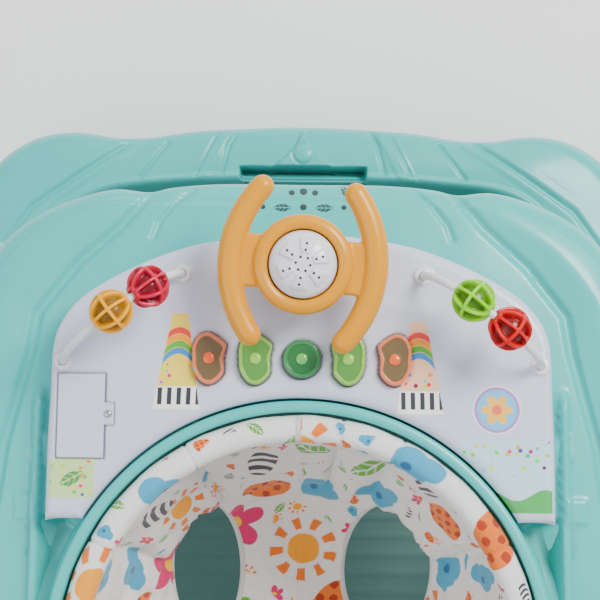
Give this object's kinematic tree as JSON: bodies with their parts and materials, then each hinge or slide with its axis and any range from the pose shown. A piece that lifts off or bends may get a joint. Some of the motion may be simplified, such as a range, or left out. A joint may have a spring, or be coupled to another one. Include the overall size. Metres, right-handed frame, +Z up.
{
  "type": "baby walker",
  "caption": "Folding baby walker: wheeled base with foot mat, crossed tube frame, play tray with steering wheel, buttons and bead wires, and a hanging fabric seat with leg holes.",
  "frame": {"origin": "centre of the overall footprint on the floor", "axes": "+Y to the walker's front, +X to the seated child's right, +Z up"},
  "size_m": [0.6538, 0.7218, 0.4905],
  "materials": {
    "teal_plastic": "semi-gloss moulded",
    "dark_teal_plastic": "matt ribbed",
    "black_plastic": "matt",
    "rubber": "matt",
    "white_plastic": "gloss",
    "white_wire": "gloss white coat",
    "painted_tube": "white powder coat",
    "steel": "satin",
    "console_white": "semi-gloss cool white",
    "cell_shell": "satin",
    "board_green": "matt",
    "yellow_plastic": "gloss",
    "pink_plastic": "gloss",
    "lime_plastic": "gloss",
    "red_plastic": "gloss",
    "orange_plastic": "gloss",
    "orange_lens": "translucent gloss",
    "lime_lens": "translucent gloss",
    "green_lens": "translucent gloss",
    "printed_fabric": "printed woven cloth"
  },
  "bodies": {
    "base": {"base_shell": "teal_plastic", "foot_mat": "dark_teal_plastic", "rear_bracket_left": "black_plastic", "rear_bracket_right": "black_plastic", "stopper_front": "rubber", "stopper_rear": "rubber"},
    "outer_frame": {"outer_frame": "painted_tube", "cross_rivet_left": "steel", "cross_rivet_right": "steel", "crossbar_roller_left": "black_plastic", "crossbar_roller_right": "black_plastic"},
    "inner_frame": {"inner_frame": "painted_tube", "slide_shoe_left": "black_plastic", "slide_shoe_right": "black_plastic"},
    "tray": {"tray_shell": "teal_plastic", "tray_bracket_left": "black_plastic", "tray_bracket_right": "black_plastic", "tray_rail_left": "black_plastic", "tray_rail_right": "black_plastic", "height_rack": "black_plastic", "console_body": "console_white", "console_base": "black_plastic", "battery_cover": "console_white", "battery_screw": "steel", "battery_cell_a": "cell_shell", "battery_cell_b": "cell_shell", "circuit_board": "board_green", "speaker": "black_plastic", "steering_column": "console_white", "speaker_dome": "console_white", "bead_wire_left": "white_wire", "bead_wire_right": "white_wire", "seat_sling": "printed_fabric", "seat_rim": "printed_fabric", "seat_back": "printed_fabric"},
    "fork_front_left": {"caster_fork_front_left": "black_plastic"},
    "wheel_front_left": {"caster_wheel_front_left": "white_plastic"},
    "fork_front_right": {"caster_fork_front_right": "black_plastic"},
    "wheel_front_right": {"caster_wheel_front_right": "white_plastic"},
    "fork_side_left": {"caster_fork_side_left": "black_plastic"},
    "wheel_side_left": {"caster_wheel_side_left": "white_plastic"},
    "fork_side_right": {"caster_fork_side_right": "black_plastic"},
    "wheel_side_right": {"caster_wheel_side_right": "white_plastic"},
    "fork_rear_left": {"caster_fork_rear_left": "black_plastic"},
    "wheel_rear_left": {"caster_wheel_rear_left": "white_plastic"},
    "fork_rear_right": {"caster_fork_rear_right": "black_plastic"},
    "wheel_rear_right": {"caster_wheel_rear_right": "white_plastic"},
    "release": {"height_release": "orange_plastic"},
    "steering": {"steering_wheel": "yellow_plastic"},
    "button_outer_left": {"button_outer_left": "orange_lens"},
    "button_inner_left": {"button_inner_left": "lime_lens"},
    "button_centre": {"button_centre": "green_lens"},
    "button_inner_right": {"button_inner_right": "lime_lens"},
    "button_outer_right": {"button_outer_right": "orange_lens"},
    "bead_left_outer": {"bead_left_outer": "yellow_plastic"},
    "bead_left_inner": {"bead_left_inner": "pink_plastic"},
    "bead_right_outer": {"bead_right_outer": "red_plastic"},
    "bead_right_inner": {"bead_right_inner": "lime_plastic"}
  },
  "joints": [
    {"name": "fold", "type": "hinge", "parent": "base", "child": "outer_frame", "pos_m": [0, -0.272, 0.07], "axis": [-1, 0, 0], "range_deg": [0, 30], "deforming": ["seat_sling"]},
    {"name": "cross", "type": "hinge", "parent": "outer_frame", "child": "inner_frame", "pos_m": [0, -0.08201, 0.215], "axis": [-1, 0, 0], "range_deg": [-60, 0]},
    {"name": "tray_level", "type": "hinge", "parent": "inner_frame", "child": "tray", "pos_m": [0, -0.272, 0.36], "axis": [-1, 0, 0], "range_deg": [0, 30]},
    {"name": "swivel_front_left", "type": "hinge", "parent": "base", "child": "fork_front_left", "pos_m": [-0.258, 0.292, 0.0435], "axis": [0, 0, 1], "continuous": true},
    {"name": "roll_front_left", "type": "hinge", "parent": "fork_front_left", "child": "wheel_front_left", "pos_m": [-0.258, 0.278, 0.018], "axis": [1, 0, 0], "continuous": true},
    {"name": "swivel_front_right", "type": "hinge", "parent": "base", "child": "fork_front_right", "pos_m": [0.258, 0.292, 0.0435], "axis": [0, 0, 1], "continuous": true},
    {"name": "roll_front_right", "type": "hinge", "parent": "fork_front_right", "child": "wheel_front_right", "pos_m": [0.258, 0.278, 0.018], "axis": [1, 0, 0], "continuous": true},
    {"name": "swivel_side_left", "type": "hinge", "parent": "base", "child": "fork_side_left", "pos_m": [-0.281, 0.01, 0.0435], "axis": [0, 0, 1], "continuous": true},
    {"name": "roll_side_left", "type": "hinge", "parent": "fork_side_left", "child": "wheel_side_left", "pos_m": [-0.281, -0.004, 0.018], "axis": [1, 0, 0], "continuous": true},
    {"name": "swivel_side_right", "type": "hinge", "parent": "base", "child": "fork_side_right", "pos_m": [0.281, 0.01, 0.0435], "axis": [0, 0, 1], "continuous": true},
    {"name": "roll_side_right", "type": "hinge", "parent": "fork_side_right", "child": "wheel_side_right", "pos_m": [0.281, -0.004, 0.018], "axis": [1, 0, 0], "continuous": true},
    {"name": "swivel_rear_left", "type": "hinge", "parent": "base", "child": "fork_rear_left", "pos_m": [-0.276, -0.3, 0.0435], "axis": [0, 0, 1], "continuous": true},
    {"name": "roll_rear_left", "type": "hinge", "parent": "fork_rear_left", "child": "wheel_rear_left", "pos_m": [-0.276, -0.314, 0.018], "axis": [1, 0, 0], "continuous": true},
    {"name": "swivel_rear_right", "type": "hinge", "parent": "base", "child": "fork_rear_right", "pos_m": [0.276, -0.3, 0.0435], "axis": [0, 0, 1], "continuous": true},
    {"name": "roll_rear_right", "type": "hinge", "parent": "fork_rear_right", "child": "wheel_rear_right", "pos_m": [0.276, -0.314, 0.018], "axis": [1, 0, 0], "continuous": true},
    {"name": "release_pull", "type": "slide", "parent": "tray", "child": "release", "axis": [0, 1, 0], "range_m": [0, 0.008], "stiffness_N_per_m": 500},
    {"name": "steer", "type": "hinge", "parent": "tray", "child": "steering", "pos_m": [0, 0.16543, 0.46501], "axis": [0, -0.1392, 0.9903], "continuous": true},
    {"name": "press_outer_left", "type": "slide", "parent": "tray", "child": "button_outer_left", "axis": [0, 0, -1], "range_m": [0, 0.002], "stiffness_N_per_m": 400},
    {"name": "press_inner_left", "type": "slide", "parent": "tray", "child": "button_inner_left", "axis": [0, 0, -1], "range_m": [0, 0.002], "stiffness_N_per_m": 400},
    {"name": "press_centre", "type": "slide", "parent": "tray", "child": "button_centre", "axis": [0, 0, -1], "range_m": [0, 0.002], "stiffness_N_per_m": 400},
    {"name": "press_inner_right", "type": "slide", "parent": "tray", "child": "button_inner_right", "axis": [0, 0, -1], "range_m": [0, 0.002], "stiffness_N_per_m": 400},
    {"name": "press_outer_right", "type": "slide", "parent": "tray", "child": "button_outer_right", "axis": [0, 0, -1], "range_m": [0, 0.002], "stiffness_N_per_m": 400},
    {"name": "slide_bead_left_outer", "type": "hinge", "parent": "tray", "child": "bead_left_outer", "pos_m": [-0.132, 0.131, 0.4208], "axis": [-0.6088, 0.7933, 0], "range_deg": [-56, 0]},
    {"name": "slide_bead_left_inner", "type": "hinge", "parent": "tray", "child": "bead_left_inner", "pos_m": [-0.132, 0.131, 0.4208], "axis": [-0.6088, 0.7933, 0], "range_deg": [0, 28]},
    {"name": "slide_bead_right_outer", "type": "hinge", "parent": "tray", "child": "bead_right_outer", "pos_m": [0.132, 0.131, 0.4208], "axis": [-0.6088, -0.7933, 0], "range_deg": [-40, 0]},
    {"name": "slide_bead_right_inner", "type": "hinge", "parent": "tray", "child": "bead_right_inner", "pos_m": [0.132, 0.131, 0.4208], "axis": [-0.6088, -0.7933, 0], "range_deg": [0, 44]}
  ],
  "couplings": [
    {"joint": "cross", "follows": "fold", "ratio": -2},
    {"joint": "tray_level", "follows": "fold", "ratio": 1}
  ]
}
